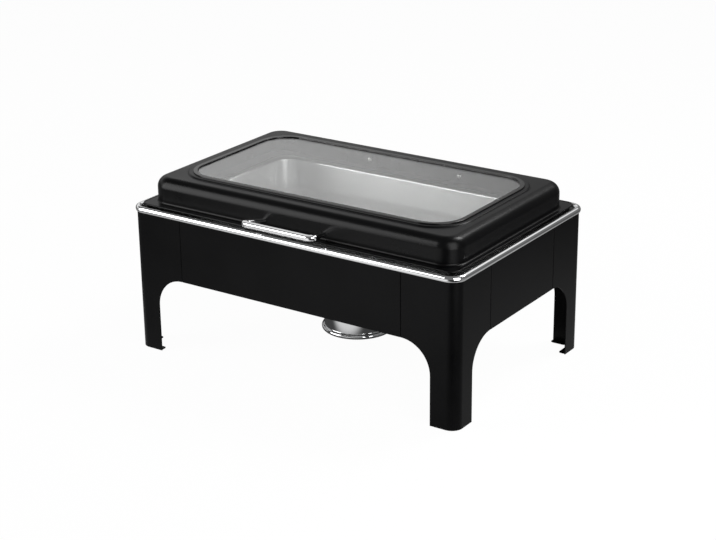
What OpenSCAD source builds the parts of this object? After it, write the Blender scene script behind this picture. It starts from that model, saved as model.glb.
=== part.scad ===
// Rectangular chafing dish with a hinged glass-topped lid, a food pan over a water pan,
// a four-legged sheet stand and a hanging fuel burner. Millimetres, +Z up, front is -Y.

/* [Stand] */
// Distance from the food pan rim to the side faces
stand_side = 35; // [30:0.5:50]
// Distance from the food pan rim to the front and back faces
stand_front = 28.5; // [28:0.5:40]
// Height of the sheet body above the table
stand_h = 230; // [222:1:250]
// Thickness of the stand sheet
sheet_t = 1.5; // [1.2:0.1:2]
// Outside radius of the upright corners
corner_r = 18; // [16:1:22]
// Distance from a corner to its panel seam
seam_in = 95; // [88:1:105]
// Width of each foot face
foot_w = 45; // [40:1:55]
// Height of the lower edge of the panels
panel_z = 129; // [122:1:134]
// Depth of the turned flanges at the seams
seam_flange = 16; // [15:1:20]
// Depth of the turned hem under each panel
hem_d = 14; // [14:1:18]
// Depth of the turned lip under each foot face
foot_lip = 13; // [10:1:18]
// End rounding of the foot lips
lip_r = 5; // [3:1:6]
// Distance of the foot lips from the edge of the foot
lip_side = 1; // [0.5:0.5:3]

/* [Seam fasteners] */
// Radius of the seam bolts
bolt_r = 2.4; // [2:0.1:2.6]
// Radial clearance of bolts and screws in their holes
bolt_gap = 0.1; // [0.05:0.01:0.2]
// Distance of the bolts behind the outside face
bolt_in = 9; // [8:0.5:10]
// Radius of the bolt heads
bolt_head_r = 4.2; // [3.8:0.1:4.6]
// Height of the bolt heads
bolt_head_h = 3; // [2:0.5:4]
// Corner radius of the hexagon nuts
nut_r = 4.6; // [4.2:0.1:5]
// Height of the nuts
nut_h = 3.5; // [3:0.5:5]
// Height of the lower bolt row above the panel edge
bolt_low_up = 23; // [16:1:35]
// Distance of the upper bolt row below the top of the sheet body
bolt_high_down = 25; // [18:1:35]
// Length of a bolt or screw end past its nut
bolt_end = 1; // [0.5:0.1:2]

/* [Water pan] */
// Reach of the rolled rim past the stand
rim_over = 3.5; // [3.5:0.5:4.5]
// Width of the rolled rim inside the stand face
rim_in = 6.5; // [6:0.5:7]
// Height of the rolled rim
rim_h = 10.5; // [10:0.5:11]
// Edge rounding of the rolled rim
rim_round = 4.7; // [3:0.1:4.7]
// Corner radius of the rolled rim
rim_r = 24; // [22:1:28]
// Sheet thickness of both pans
pan_t = 1; // [0.8:0.1:1.5]
// Height of the ledge above the sheet body
ledge_up = 5; // [4:0.5:6]
// Gap between the food pan wall and the basin wall
basin_gap = 2.5; // [1.5:0.5:4]
// Corner radius inside the basin
basin_r = 38; // [34:1:44]
// Edge radius round the basin floor
basin_fillet = 12; // [8:1:20]
// Depth of the water space under the food pan
water_gap = 21; // [15:1:30]

/* [Food pan] */
// Width over the food pan rim
food_w = 530; // [480:1:580]
// Depth over the food pan rim
food_d = 325; // [295:1:360]
// Corner radius of the food pan rim
food_r = 22; // [16:1:30]
// Width of the food pan rim
food_rim = 11.5; // [11:0.5:13]
// Corner radius of the food pan wall
food_wall_r = 36; // [28:1:40]
// Depth of the food pan
food_h = 65; // [55:1:75]
// Edge radius round the food pan floor
food_fillet = 16; // [10:1:22]

/* [Lid] */
// Gap between the lid flange and the rolled rim
lid_gap = 1.5; // [1:0.1:2.5]
// Height of the lid flange above the sheet body
lid_up = 13.5; // [13:0.5:15]
// Width of the lid flange at the front and back
lid_flange = 14.5; // [13.5:0.5:16]
// Width of the lid flange at the sides
flange_side = 10; // [9:0.5:12]
// Sheet thickness of the lid
lid_t = 1.5; // [1.2:0.1:2]
// Corner radius of the lid flange
flange_r = 16; // [14:1:20]
// Radius of the rolled edge of the lid flange
flange_bead = 1.4; // [1.2:0.1:1.6]
// Height of the dome above the flange
dome_h = 40.5; // [38:0.5:46]
// Outside radius of the dome corners
dome_r = 32; // [30:1:36]
// Outside radius of the dome shoulder
shoulder_r = 17; // [15:1:19]
// Radius where the dome meets the flange
base_r = 3; // [2:0.5:3]
// Radius of the silicone bumpers under the flange
bumper_r = 4.5; // [3:0.5:5]
// Gap under the bumpers at rest
bumper_gap = 0.3; // [0.2:0.1:0.5]
// Distance of the bumpers from the flange edge
bumper_in = 11.5; // [10.5:0.5:12]

/* [Window] */
// Distance from the side walls of the dome to the visible glass
view_side = 40.5; // [37:0.5:50]
// Distance from the front and back walls of the dome to the visible glass
view_front = 44; // [38:0.5:60]
// Corner radius of the visible glass
view_r = 45; // [38:1:55]
// Width of the gasket lip on top
seal_w = 7.5; // [7:0.5:8]
// Thickness of the gasket lips
seal_lip = 1.8; // [1.2:0.1:2.5]
// Gasket lip over the glass edge
seal_bite = 3; // [2.5:0.5:3.5]
// Gasket web between glass and lid
seal_web = 2; // [1.5:0.5:2.5]
// Edge rounding of the gasket lip
seal_round = 0.8; // [0.4:0.1:1]
// Thickness of the glass
glass_t = 4; // [3:0.5:5]
// Flat of the raised frame outside the gasket
frame_flat = 5; // [3:0.5:6]
// Height of the raised frame above the dome
frame_h = 2; // [1.5:0.1:3]

/* [Handle] */
// Half length of the handle bar
grip_half = 68; // [62:1:75]
// Reach of the handle bar in front of the stand
grip_reach = 25; // [22:1:32]
// Depth of the handle bar
grip_d = 11; // [9:0.5:13]
// Height of the handle bar
grip_h = 8; // [7:0.5:10]
// Height of the underside of the handle bar above the flange
grip_up = 12; // [9:0.5:14]
// Edge rounding of the handle bar
grip_round = 3; // [2:0.1:3.4]
// Bend radius at the ends of the bar
grip_bend = 16; // [13:1:20]
// Half distance between the handle feet
grip_foot = 55; // [50:0.5:60]
// Width of a handle foot at the lid
grip_foot_w = 7.5; // [7:0.5:9]
// Height of a handle foot at the lid
grip_foot_h = 6; // [5.5:0.5:7]
// Height of the handle feet above the flange
grip_foot_up = 9.5; // [8.5:0.1:11]
// Radius of the handle screws
grip_screw_r = 1.5; // [1.2:0.1:1.6]
// Length of the handle screws in the feet
grip_screw_l = 7; // [5:0.5:8]
// Step from the bar to its returns, top and bottom
grip_step = 0.6; // [0.3:0.1:1]

/* [Hinge] */
// Distance of the hinge axis behind the stand
axis_back = 13; // [12.5:0.5:14]
// Height of the hinge axis above the flange
axis_up = 6; // [6:0.5:8]
// Radius of the hinge shaft
shaft_r = 4; // [3:0.5:4.5]
// Running clearance of the shaft in the ears
run_gap = 0.05; // [0.02:0.01:0.08]
// Seat clearance of the shaft in the arms
seat_gap = 0.02; // [0.01:0.01:0.05]
// Distance of the hinge arms from the ends of the base plate
arm_in = 25; // [20:1:32]
// Width of an arm knuckle
arm_w = 14; // [12:1:16]
// Outside radius of an arm knuckle
knuckle_r = 6; // [5.5:0.1:6.4]
// Width of the arm plate on the lid
arm_plate_w = 26; // [22:1:32]
// Thickness of the arm plate
arm_plate_t = 3; // [2:0.5:4]
// Thickness of the hinge ears
ear_t = 4; // [3:0.5:5]
// Side gap between ear and knuckle
ear_gap = 0.5; // [0.3:0.1:1]
// Outside radius of the ears round the shaft
ear_r = 8; // [7:0.5:9]
// Thickness of the hinge base plate
base_t = 3; // [2.5:0.5:4]
// Half width of the hinge base plate
base_half = 112; // [108:1:125]
// Height of the hinge base plate
base_h = 46; // [40:1:60]
// Distance of the base plate below the top of the sheet body
base_down = 5; // [4:0.5:8]
// Distance of the base screws from the hinge arms
base_screw_gap = 27; // [20:1:40]
// Distance of the base screws from the plate edges
base_screw_in = 12; // [9:0.5:14]
// Rise of an ear from the foot of the base plate
ear_low = 8; // [4:0.5:12]
// Drop of an ear below the top of the sheet body
ear_high = 3; // [2:0.5:4]
// Radius of the damper cylinder on the axis
damper_r = 12; // [10:0.5:12]
// Radius of the arm screws
arm_screw_r = 2.5; // [2:0.1:3]
// Gap between the arm plate and the bend round the dome
arm_lift = 0.5; // [0.3:0.1:1]
// Drop of the arm rib below the arm plate
arm_drop = 2; // [1:0.5:4]
// Height of the arm screws above the flange
arm_screw_up = 10.9; // [10.5:0.1:12]
// Length of the arm screws in the arms
arm_screw_l = 14; // [8:1:18]
// Dome height of the screw heads inside the lid
cap_h = 3.4; // [2:0.1:3.6]
// Radius of the screw heads inside the lid
cap_r = 5; // [4:0.1:5.5]
// Thickness of the shaft clips
clip_t = 2; // [1.5:0.1:3]
// Width of the shaft clips round the shaft
clip_w = 2.5; // [2:0.1:3.5]
// Gap between a clip and its ear
clip_gap = 0.3; // [0.2:0.1:0.5]
// Length of the shaft past the clips
shaft_end = 0.7; // [0.5:0.1:2]

/* [Burner] */
// Radius of the burner bowl
bowl_r = 55; // [48:0.5:58]
// Reach of the bead round the bowl foot past the bowl
bowl_bead_out = 4; // [2:0.5:5]
// Height of the bead round the bowl foot
bowl_bead_h = 8; // [6:0.5:10]
// Height of the bowl foot above the table
bowl_z = 33; // [28:1:40]
// Wall thickness of the bowl
bowl_t = 1.5; // [1:0.1:2]
// Width of the bowl flange that rests on the bracket ring
flange_rest = 5.5; // [3:0.5:8]
// Thickness of the bowl flange and cover
bowl_flange_t = 2; // [1.5:0.1:2.5]
// Height of the bracket ring above the table
ring_z = 86; // [80:1:95]
// Radial room for the burner in the bracket ring
ring_gap = 1.5; // [1:0.1:3]
// Reach of the bracket ring past the bowl flange
ring_over = 6; // [4:0.5:10]
// Thickness of the bracket strap
strap_t = 2; // [1.5:0.1:3]
// Width of the bracket strap
strap_w = 32; // [28:1:40]
// Radius of the bracket screws
strap_screw_r = 2; // [1.5:0.1:2.2]
// Half distance between the bracket screws
strap_screw_x = 9; // [8:0.5:10]
// Height of the bracket screw heads
strap_head_h = 2.4; // [2:0.1:3]
// Gap between the strap ends and the panels
strap_edge = 2.5; // [1.5:0.5:4]
// Run of the strap from the hem and from the ring to its knees
strap_run = 6; // [4:0.5:10]
// Gap between the fuel cup and the outside of the bowl
cup_gap = 7; // [5:0.5:12]
// Height of the fuel cup
cup_h = 42; // [30:1:44]
// Wall thickness of the fuel cup
cup_t = 1.2; // [1:0.1:1.6]
// Radius of the flame hole in the cover
flame_r = 24; // [20:0.5:26]
// Depth of the locating skirt under the cover
skirt_h = 5; // [3:0.5:6]
// Set-back of the cover edge from the bowl flange
cover_in = 2; // [1:0.5:3]
// Lap of the swivelling damper plate over the flame hole
snuff_lap = 3; // [2:0.5:5]
// Distance of the damper pivot from the outside of the bowl
snuff_edge = 13; // [11:0.5:15]
// Angle of the damper at rest from closed
snuff_rest = 75; // [70:1:80]
// Thickness of the damper plate
snuff_t = 1.5; // [1:0.1:2]
// Half width of the damper plate arm
snuff_arm = 7; // [6:0.5:8]
// Radius of the damper rivet
rivet_r = 2.5; // [2:0.1:3]
// Width of the rivet head past its shank
rivet_head = 2; // [1.5:0.1:2.5]
// Width of the rivet foot past its shank
rivet_foot = 1.5; // [1:0.1:2]
// Height of the rivet head and foot
rivet_h = 1.5; // [1:0.1:2]
// Play of the damper plate under the rivet head
rivet_gap = 0.3; // [0.2:0.05:0.5]
// Radius of the damper knob
knob_r = 4; // [3:0.5:5]
// Height of the damper knob
knob_h = 10; // [6:0.5:12]

/* [Hidden] */
$fn = 96;

black = [0.03, 0.03, 0.032];
steel = [0.78, 0.78, 0.78];
bright = [0.86, 0.86, 0.87];
dark_rubber = [0.02, 0.02, 0.02];
clear_glass = [0.8, 0.85, 0.85, 0.35];
eps = 0.01;
cut = 1;

food_hw = food_w / 2;
food_hd = food_d / 2;
stand_hw = food_hw + stand_side;
stand_hd = food_hd + stand_front;
arch_r = seam_in - foot_w;
arch_z = panel_z - arch_r;
front_half = stand_hw - seam_in;
side_half = stand_hd - seam_in;
bolt_rows = [panel_z + bolt_low_up, stand_h - bolt_high_down];

rim_hw = stand_hw + rim_over;
rim_hd = stand_hd + rim_over;
rim_w = rim_over + rim_in;
ledge_z = stand_h + ledge_up;

food_wall_hw = food_hw - food_rim;
food_wall_hd = food_hd - food_rim;
food_top = ledge_z + pan_t;
food_floor = food_top - food_h;
basin_hw = food_wall_hw + basin_gap;
basin_hd = food_wall_hd + basin_gap;
basin_z = food_floor - water_gap - pan_t;

flange_hw = stand_hw - rim_in - lid_gap;
flange_hd = stand_hd - rim_in - lid_gap;
flange_z = stand_h + lid_up;
dome_hw = flange_hw - flange_side;
dome_hd = flange_hd - lid_flange;
dome_z = flange_z + dome_h;
shoulder_z = dome_z - shoulder_r;
shoulder_in = dome_r - shoulder_r;

view_hw = dome_hw - view_side;
view_hd = dome_hd - view_front;
seal_hw = view_hw + seal_w;
seal_hd = view_hd + seal_w;
seal_r = view_r + seal_w;
glass_hw = view_hw + seal_bite;
glass_hd = view_hd + seal_bite;
glass_r = view_r + seal_bite;
hole_hw = glass_hw + seal_web;
hole_hd = glass_hd + seal_web;
hole_r = glass_r + seal_web;
seat_z = dome_z + frame_h;
glass_z = seat_z - glass_t;
frame_bend = frame_h + lid_t;
frame_out = frame_flat + frame_bend;
frame_hw = seal_hw + frame_out;
frame_hd = seal_hd + frame_out;
frame_r = seal_r + frame_out;

grip_y = -stand_hd - grip_reach;
grip_back = grip_y + grip_d;
grip_z = flange_z + grip_up;
grip_mid = grip_y + grip_bend;
grip_leg = grip_half - grip_d;
foot_z = flange_z + grip_foot_up;
lid_front = -dome_hd;

axis_y = stand_hd + axis_back;
axis_z = flange_z + axis_up;
base_y = stand_hd;
base_top = stand_h - base_down;
arm_x = base_half - arm_in;
base_screw_x = arm_x - base_screw_gap;
ear_in = arm_x - arm_w / 2 - ear_gap - ear_t;
ear_out = arm_x + arm_w / 2 + ear_gap;
clip_x = ear_out + ear_t + clip_gap;
shaft_half = clip_x + clip_t + shaft_end;
arm_low = flange_z + base_r + arm_lift;
arm_high = shoulder_z - 2 * arm_lift;
arm_screw_z = flange_z + arm_screw_up;
base_screw_z = [base_top - base_h + base_screw_in, base_top - base_screw_in];

bowl_bead_r = bowl_r + bowl_bead_out;
bowl_flange_r = bowl_bead_r + ring_gap + flange_rest;
ring_r = bowl_flange_r + ring_over;
cup_r = bowl_r - cup_gap;
snuff_r = flame_r + snuff_lap;
snuff_x = bowl_r - snuff_edge;
flange_low = ring_z + strap_t;
hem_top = panel_z + sheet_t;
strap_end = stand_hd - sheet_t - strap_edge;
strap_knee = stand_hd - hem_d - strap_run;
strap_flat = ring_r + strap_run;
bowl_floor = bowl_z + bowl_t;
cover_z = flange_low + bowl_flange_t;
plate_z = cover_z + bowl_t;

// Rounded rectangle of half sizes and corner radius
module slab(hw, hd, r) {
  square([2 * (hw - r), 2 * hd], center = true);
  square([2 * hw, 2 * (hd - r)], center = true);
  for (x = [-1, 1], y = [-1, 1])
    translate([x * (hw - r), y * (hd - r)])
      circle(r = r);
}

// A section carried round a rounded rectangle; the outline lies at section x = r
module band(hw, hd, r) {
  for (k = [0, 1])
    rotate([0, 0, 180 * k]) {
      translate([hw - r, 0, 0])
        rotate([90, 0, 0])
          linear_extrude(height = 2 * (hd - r), center = true)
            children();
      rotate([0, 0, 90])
        translate([hd - r, 0, 0])
          rotate([90, 0, 0])
            linear_extrude(height = 2 * (hw - r), center = true)
              children();
      translate([hw - r, hd - r, 0])
        rotate_extrude(angle = 90)
          children();
      translate([-hw + r, hd - r, 0])
        rotate([0, 0, 90])
          rotate_extrude(angle = 90)
            children();
    }
}

// Rectangle between two section corners
module box2(x0, y0, x1, y1) {
  translate([x0, y0])
    square([x1 - x0, y1 - y0]);
}

// Rectangle with rounded corners between two section corners
module soft2(x0, y0, x1, y1, r) {
  box2(x0 + r, y0, x1 - r, y1);
  box2(x0, y0 + r, x1, y1 - r);
  for (x = [x0 + r, x1 - r], y = [y0 + r, y1 - r])
    translate([x, y])
      circle(r = r);
}

// Quarter ring of a sheet bend; quarter 1 is up and outward, quarter 4 is down and outward
module bend2(x, y, r, t, side) {
  intersection() {
    translate([x, y])
      difference() {
        circle(r = r);
        if (r > t)
          circle(r = r - t);
      }
    if (side == 1)
      box2(x, y, x + r, y + r);
    if (side == 4)
      box2(x, y - r, x + r, y);
  }
}

// Upright cylinder between two heights
module rod(r, z0, z1) {
  translate([0, 0, z0])
    cylinder(r = r, h = z1 - z0);
}

// Cylinder along +X between two positions
module rod_x(r, x0, x1) {
  translate([x0, 0, 0])
    rotate([0, 90, 0])
      cylinder(r = r, h = x1 - x0);
}

// Cylinder along +Y between two positions
module rod_y(r, y0, y1) {
  translate([0, y0, 0])
    rotate([-90, 0, 0])
      cylinder(r = r, h = y1 - y0);
}

// Hexagon along +X
module hex_x(r, x0, x1) {
  translate([x0, 0, 0])
    rotate([0, 90, 0])
      cylinder(r = r, h = x1 - x0, $fn = 6);
}

// Section in Y and Z drawn out along X, centred
module along_x(width) {
  rotate([90, 0, 90])
    linear_extrude(height = width, center = true)
      children();
}

// One wing of a leg with its turned seam flange, seen from above
module leg_wing() {
  box2(corner_r, 0, seam_in - sheet_t, sheet_t);
  translate([seam_in - sheet_t, sheet_t])
    mirror([0, 1])
      bend2(0, 0, sheet_t, sheet_t, 1);
  box2(seam_in - sheet_t, sheet_t, seam_in, seam_flange);
}

// The arch that narrows a leg wing to its foot
module leg_arch() {
  translate([seam_in, -cut, arch_z])
    rotate([-90, 0, 0])
      cylinder(r = arch_r, h = seam_flange + 2 * cut);
  translate([foot_w, -cut, -cut])
    cube([arch_r + cut, seam_flange + 2 * cut, arch_z + cut]);
}

// Holes for the bolts of one seam
module seam_holes() {
  for (z = bolt_rows)
    translate([seam_in, bolt_in, z])
      rod_x(bolt_r + bolt_gap, -sheet_t - cut, cut);
}

// Turned lip under one foot face
module foot_plate() {
  linear_extrude(height = sheet_t) {
    box2(corner_r, 0, foot_w - lip_side, foot_lip - lip_r);
    box2(corner_r + lip_r, 0, foot_w - lip_side - lip_r, foot_lip);
    for (x = [corner_r + lip_r, foot_w - lip_side - lip_r])
      translate([x, foot_lip - lip_r])
        circle(r = lip_r);
  }
}

// A leg with its corner at the origin and its wings along +X and +Y
module leg() {
  color(black) {
    difference() {
      linear_extrude(height = stand_h) {
        intersection() {
          translate([corner_r, corner_r])
            difference() {
              circle(r = corner_r);
              circle(r = corner_r - sheet_t);
            }
          square([corner_r, corner_r]);
        }
        leg_wing();
        mirror([1, -1])
          leg_wing();
      }
      leg_arch();
      mirror([1, -1, 0])
        leg_arch();
      seam_holes();
      mirror([1, -1, 0])
        seam_holes();
    }
    foot_plate();
    mirror([1, -1, 0])
      foot_plate();
  }
}

module leg_front_left() {
  translate([-stand_hw, -stand_hd, 0])
    leg();
}

module leg_front_right() {
  mirror([1, 0, 0])
    leg_front_left();
}

module leg_back_left() {
  mirror([0, 1, 0])
    leg_front_left();
}

module leg_back_right() {
  mirror([1, 0, 0])
    leg_back_left();
}

// A panel with its outside face on the XZ plane, facing -Y
module panel(half) {
  color(black)
    difference() {
      union() {
        translate([0, 0, panel_z])
          linear_extrude(height = stand_h - panel_z) {
            box2(-half + sheet_t, 0, half - sheet_t, sheet_t);
            for (k = [0, 1])
              mirror([k, 0]) {
                translate([half - sheet_t, sheet_t])
                  mirror([0, 1])
                    bend2(0, 0, sheet_t, sheet_t, 1);
                box2(half - sheet_t, sheet_t, half, seam_flange);
              }
          }
        translate([-half + sheet_t - eps, sheet_t - eps, panel_z])
          cube([2 * (half - sheet_t + eps), hem_d - sheet_t, sheet_t]);
      }
      for (k = [0, 1], z = bolt_rows)
        mirror([k, 0, 0])
          translate([half, bolt_in, z])
            rod_x(bolt_r + bolt_gap, -sheet_t - cut, cut);
    }
}

// Holes for the bracket screws in a hem
module hem_holes() {
  for (x = [-1, 1])
    translate([x * strap_screw_x, bolt_in, 0])
      rod(strap_screw_r + bolt_gap, panel_z - cut, hem_top + cut);
}

module panel_front() {
  color(black)
    translate([0, -stand_hd, 0])
      difference() {
        panel(front_half);
        hem_holes();
      }
}

module panel_back() {
  color(black)
    difference() {
      rotate([0, 0, 180])
        panel_front();
      for (x = [-1, 1], z = base_screw_z)
        translate([x * base_screw_x, 0, z])
          rod_y(bolt_r + bolt_gap, stand_hd - sheet_t - cut, stand_hd + cut);
    }
}

module panel_left() {
  translate([-stand_hw, 0, 0])
    rotate([0, 0, -90])
      panel(side_half);
}

module panel_right() {
  rotate([0, 0, 180])
    panel_left();
}

// Puts one piece at every seam, with the seam at the origin and the leg towards +X
module at_seams() {
  for (x = [0, 1], y = [0, 1], z = bolt_rows)
    mirror([x, 0, 0])
      mirror([0, y, 0]) {
        translate([front_half, -stand_hd + bolt_in, z])
          children();
        translate([stand_hw - bolt_in, -side_half, z])
          rotate([0, 0, -90])
            children();
      }
}

module seam_bolts() {
  color(steel)
    at_seams() {
      rod_x(bolt_head_r, sheet_t, sheet_t + bolt_head_h);
      rod_x(bolt_r, -sheet_t - nut_h - bolt_end, sheet_t + eps);
    }
}

module seam_nuts() {
  color(steel)
    at_seams()
      difference() {
        hex_x(nut_r, -sheet_t - nut_h, -sheet_t);
        rod_x(bolt_r + bolt_gap / 2, -sheet_t - nut_h - cut, -sheet_t + cut);
      }
}

module water_pan() {
  color(bright) {
    band(rim_hw, rim_hd, rim_r) {
      soft2(rim_r - rim_w, stand_h, rim_r, stand_h + rim_h, rim_round);
      box2(rim_r - rim_w, stand_h, rim_r - rim_over, stand_h + rim_h / 2);
    }
    translate([0, 0, ledge_z - pan_t])
      linear_extrude(height = pan_t)
        difference() {
          slab(rim_hw - rim_w / 2, rim_hd - rim_w / 2, rim_r - rim_w / 2);
          slab(basin_hw, basin_hd, basin_r);
        }
    band(basin_hw + pan_t, basin_hd + pan_t, basin_r + pan_t) {
      box2(basin_r, basin_z + basin_fillet, basin_r + pan_t, ledge_z - eps);
      bend2(basin_r + pan_t - basin_fillet, basin_z + basin_fillet, basin_fillet, pan_t, 4);
    }
    translate([0, 0, basin_z])
      linear_extrude(height = pan_t)
        slab(basin_hw + pan_t - basin_fillet, basin_hd + pan_t - basin_fillet, basin_r + pan_t - basin_fillet);
  }
}

module burner_bracket() {
  color(steel)
    difference() {
      union() {
        along_x(strap_w)
          polygon([[-strap_end, hem_top], [-strap_knee, hem_top], [-strap_flat, ring_z], [strap_flat, ring_z],
                   [strap_knee, hem_top], [strap_end, hem_top], [strap_end, hem_top + strap_t],
                   [strap_knee, hem_top + strap_t], [strap_flat, flange_low], [-strap_flat, flange_low],
                   [-strap_knee, hem_top + strap_t], [-strap_end, hem_top + strap_t]]);
        rod(ring_r, ring_z, flange_low);
      }
      rod(bowl_bead_r + ring_gap, ring_z - cut, flange_low + cut);
      for (y = [-1, 1], x = [-1, 1])
        translate([x * strap_screw_x, y * (stand_hd - bolt_in), 0])
          rod(strap_screw_r + bolt_gap, hem_top - cut, hem_top + strap_t + cut);
    }
}

module bracket_screws() {
  color(steel)
    for (y = [-1, 1], x = [-1, 1])
      translate([x * strap_screw_x, y * (stand_hd - bolt_in), 0]) {
        rod(strap_screw_r * 2, panel_z - strap_head_h, panel_z);
        rod(strap_screw_r, panel_z - eps, hem_top + strap_t + nut_h + bolt_end);
      }
}

module bracket_nuts() {
  color(steel)
    for (y = [-1, 1], x = [-1, 1])
      translate([x * strap_screw_x, y * (stand_hd - bolt_in), hem_top + strap_t])
        difference() {
          cylinder(r = strap_screw_r * 2, h = nut_h, $fn = 6);
          translate([0, 0, -cut])
            cylinder(r = strap_screw_r + bolt_gap / 2, h = nut_h + 2 * cut);
        }
}

// One hinge ear in the YZ plane
module ear2() {
  polygon([[base_y + base_t / 2, base_top - base_h + ear_low], [axis_y + ear_r, base_top],
           [axis_y + ear_r, axis_z], [axis_y - ear_r, axis_z], [axis_y - ear_r, stand_h - ear_high],
           [base_y + base_t / 2, base_top - ear_high]]);
  translate([axis_y, axis_z])
    circle(r = ear_r);
}

module hinge_base() {
  color(steel)
    difference() {
      union() {
        translate([-base_half, base_y, base_top - base_h])
          cube([2 * base_half, base_t, base_h]);
        for (k = [0, 1])
          mirror([k, 0, 0]) {
            translate([ear_in + ear_t / 2, 0, 0])
              along_x(ear_t)
                ear2();
            translate([ear_out + ear_t / 2, 0, 0])
              along_x(ear_t)
                ear2();
          }
      }
      translate([0, axis_y, axis_z])
        rod_x(shaft_r + run_gap, -shaft_half - cut, shaft_half + cut);
      for (x = [-1, 1], z = base_screw_z)
        translate([x * base_screw_x, 0, z])
          rod_y(bolt_r + bolt_gap, base_y - cut, base_y + base_t + cut);
    }
}

module hinge_base_screws() {
  color(steel)
    for (x = [-1, 1], z = base_screw_z)
      translate([x * base_screw_x, base_y, z]) {
        rod_y(bolt_head_r, base_t, base_t + bolt_head_h);
        rod_y(bolt_r, -sheet_t - nut_h - bolt_end, base_t + eps);
      }
}

module hinge_base_nuts() {
  color(steel)
    for (x = [-1, 1], z = base_screw_z)
      translate([x * base_screw_x, base_y, z])
        rotate([0, 0, 90])
          difference() {
            hex_x(nut_r, -sheet_t - nut_h, -sheet_t);
            rod_x(bolt_r + bolt_gap / 2, -sheet_t - nut_h - cut, -sheet_t + cut);
          }
}

module damper_cylinder() {
  color(steel)
    translate([0, axis_y, axis_z])
      difference() {
        rod_x(damper_r, -ear_in, ear_in);
        rod_x(shaft_r + run_gap, -ear_in - cut, ear_in + cut);
      }
}

module food_pan() {
  color(bright) {
    translate([0, 0, ledge_z])
      linear_extrude(height = pan_t)
        difference() {
          slab(food_hw, food_hd, food_r);
          slab(food_wall_hw - pan_t, food_wall_hd - pan_t, food_wall_r - pan_t);
        }
    band(food_wall_hw, food_wall_hd, food_wall_r) {
      box2(food_wall_r - pan_t, food_floor + food_fillet, food_wall_r, food_top - eps);
      bend2(food_wall_r - food_fillet, food_floor + food_fillet, food_fillet, pan_t, 4);
    }
    translate([0, 0, food_floor])
      linear_extrude(height = pan_t)
        slab(food_wall_hw - food_fillet, food_wall_hd - food_fillet, food_wall_r - food_fillet);
  }
}

module lid_shell() {
  color(black)
    difference() {
      union() {
        translate([0, 0, flange_z - lid_t])
          linear_extrude(height = lid_t)
            difference() {
              slab(flange_hw - flange_bead, flange_hd - flange_bead, flange_r - flange_bead);
              slab(dome_hw - lid_t, dome_hd - lid_t, dome_r - lid_t);
            }
        band(flange_hw, flange_hd, flange_r)
          translate([flange_r - flange_bead, flange_z - lid_t / 2])
            circle(r = flange_bead);
        band(dome_hw, dome_hd, dome_r) {
          box2(dome_r - lid_t, flange_z - lid_t + eps, dome_r, shoulder_z);
          bend2(shoulder_in, shoulder_z, shoulder_r, lid_t, 1);
          difference() {
            box2(dome_r - eps, flange_z - eps, dome_r + base_r, flange_z + base_r);
            translate([dome_r + base_r, flange_z + base_r])
              circle(r = base_r);
          }
        }
        translate([0, 0, dome_z - lid_t])
          linear_extrude(height = lid_t)
            difference() {
              slab(dome_hw - shoulder_r, dome_hd - shoulder_r, shoulder_in);
              slab(frame_hw - lid_t / 2, frame_hd - lid_t / 2, frame_r - lid_t / 2);
            }
        band(frame_hw, frame_hd, frame_r)
          bend2(frame_r - frame_bend, dome_z - lid_t, frame_bend, lid_t, 1);
        translate([0, 0, seat_z - lid_t])
          linear_extrude(height = lid_t)
            difference() {
              slab(frame_hw - frame_bend, frame_hd - frame_bend, frame_r - frame_bend);
              slab(hole_hw, hole_hd, hole_r);
            }
      }
      for (x = [-1, 1]) {
        translate([x * arm_x, 0, arm_screw_z])
          rod_y(arm_screw_r + bolt_gap, dome_hd - lid_t - cut, dome_hd + cut);
        translate([x * grip_foot, 0, foot_z])
          rod_y(grip_screw_r + bolt_gap, lid_front - cut, lid_front + lid_t + cut);
      }
    }
}

module lid_glass() {
  color(clear_glass)
    translate([0, 0, glass_z])
      linear_extrude(height = glass_t)
        slab(glass_hw, glass_hd, glass_r);
}

module window_gasket() {
  color(dark_rubber)
    band(seal_hw, seal_hd, seal_r) {
      box2(seal_r - seal_w + seal_round, seat_z, seal_r - seal_round, seat_z + seal_lip);
      box2(seal_r - seal_w, seat_z, seal_r, seat_z + seal_lip - seal_round);
      for (x = [seal_r - seal_w + seal_round, seal_r - seal_round])
        translate([x, seat_z + seal_lip - seal_round])
          circle(r = seal_round);
      box2(glass_r, glass_z - seal_lip, hole_r, seat_z);
      box2(seal_r - seal_w, glass_z - seal_lip, glass_r, glass_z);
      box2(hole_r, glass_z - seal_lip, seal_r, seat_z - lid_t);
    }
}

// The bow of the handle seen from above
module grip_plan2() {
  box2(-grip_half + grip_bend, grip_y, grip_half - grip_bend, grip_back);
  for (k = [0, 1])
    mirror([k, 0]) {
      translate([grip_half - grip_bend, grip_mid])
        mirror([0, 1])
          bend2(0, 0, grip_bend, grip_d, 1);
      polygon([[grip_leg, grip_mid], [grip_half, grip_mid],
               [grip_foot + grip_foot_w / 2, lid_front + cut], [grip_foot - grip_foot_w / 2, lid_front + cut]]);
    }
}

// The handle bar seen from the side
module grip_bar2() {
  soft2(grip_y, grip_z, grip_back, grip_z + grip_h, grip_round);
}

// The tapering returns of the handle seen from the side
module grip_return2() {
  polygon([[grip_back - grip_d / 2, grip_z + grip_h - grip_step], [lid_front, foot_z + grip_foot_h / 2],
           [lid_front, foot_z - grip_foot_h / 2], [grip_back - grip_d / 2, grip_z + grip_step]]);
}

module lid_handle() {
  color(bright)
    difference() {
      intersection() {
        union() {
          along_x(2 * (grip_half + cut))
            grip_bar2();
          along_x(2 * (grip_half + cut))
            grip_return2();
        }
        translate([0, 0, flange_z])
          linear_extrude(height = dome_h)
            grip_plan2();
      }
      for (x = [-1, 1])
        translate([x * grip_foot, 0, foot_z])
          rod_y(grip_screw_r + seat_gap, lid_front - grip_screw_l - cut / 2, lid_front + cut);
    }
}

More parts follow.
